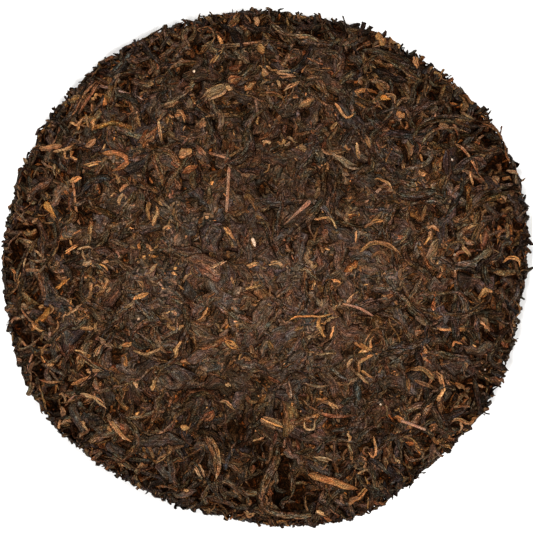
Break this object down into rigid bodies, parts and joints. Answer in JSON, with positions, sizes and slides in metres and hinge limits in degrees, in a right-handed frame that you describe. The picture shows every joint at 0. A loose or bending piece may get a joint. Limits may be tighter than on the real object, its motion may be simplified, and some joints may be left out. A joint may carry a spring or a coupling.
{
  "type": "pu erh tea cake",
  "caption": "Round pressed cake of dark fermented tea leaves: domed crown, ragged rim, flat resting ring and a knot hollow underneath.",
  "frame": {"origin": "centre of the resting ring's plane, under the middle of the cake", "axes": "+Z up through the thickness, towards the domed crown; +X and +Y across the disc, +Y up in a plan seen from above"},
  "size_m": [0.1954, 0.1936, 0.0219],
  "materials": {
    "pressed_leaves": "dry pressed tea leaves, dark brown with golden buds and tan stems, dull to faintly satin"
  },
  "bodies": {
    "root": {"tea_cake": "pressed_leaves"}
  },
  "joints": []
}
